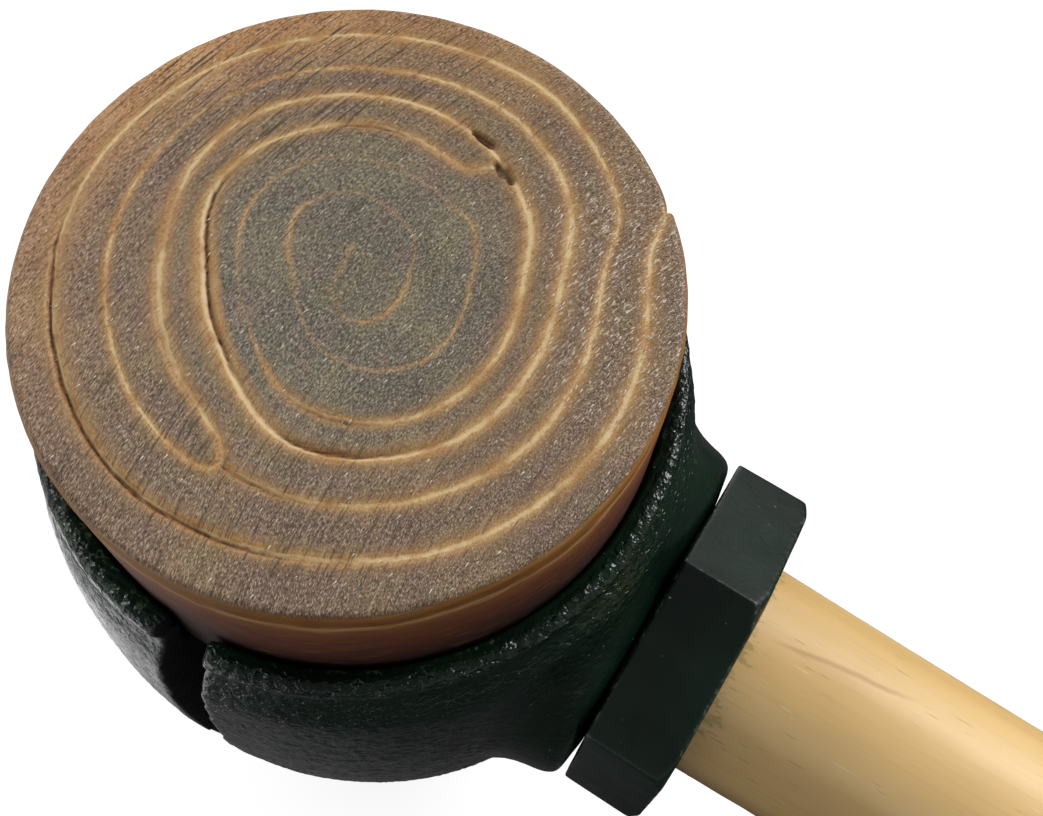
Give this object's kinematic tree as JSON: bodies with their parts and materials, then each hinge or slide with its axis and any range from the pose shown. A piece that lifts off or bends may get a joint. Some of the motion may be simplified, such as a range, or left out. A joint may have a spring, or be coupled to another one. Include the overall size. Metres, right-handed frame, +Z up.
{
  "type": "rawhide mallet",
  "caption": "Split-head mallet with wound rawhide striking faces clamped in two cast iron jaws by a hexagon nut, on a wooden handle.",
  "frame": {"origin": "centre of the lower striking face", "axes": "+Z up the head towards the upper striking face, +X from the head out along the handle"},
  "size_m": [0.33, 0.0608, 0.0805],
  "materials": {
    "green_painted_iron": "gloss",
    "green_painted_nut": "satin",
    "rawhide": "satin",
    "hickory": "satin",
    "wedge_wood": "matte",
    "wedge_steel": "satin"
  },
  "bodies": {
    "crown": {"crown_jaw": "green_painted_iron", "handle": "hickory", "wooden_wedge": "wedge_wood", "steel_wedge": "wedge_steel"},
    "throat": {"throat_jaw": "green_painted_iron"},
    "nut": {"clamp_nut": "green_painted_nut"},
    "upper_face": {"upper_rawhide_face": "rawhide"},
    "lower_face": {"lower_rawhide_face": "rawhide"}
  },
  "joints": [
    {"name": "jaw_slide", "type": "slide", "parent": "crown", "child": "throat", "axis": [1, 0, 0], "range_m": [0, 0.0033]},
    {"name": "nut_turn", "type": "hinge", "parent": "throat", "child": "nut", "pos_m": [0.03515, 0, 0.04025], "axis": [1, 0, 0], "range_deg": [0, 600]},
    {"name": "upper_face_pull", "type": "slide", "parent": "crown", "child": "upper_face", "axis": [0, 0, 1], "range_m": [0, 0.014]},
    {"name": "lower_face_pull", "type": "slide", "parent": "crown", "child": "lower_face", "axis": [0, 0, -1], "range_m": [0, 0.014]}
  ],
  "couplings": [
    {"joint": "nut_turn", "follows": "jaw_slide", "rad_per_m": 3141.6}
  ]
}
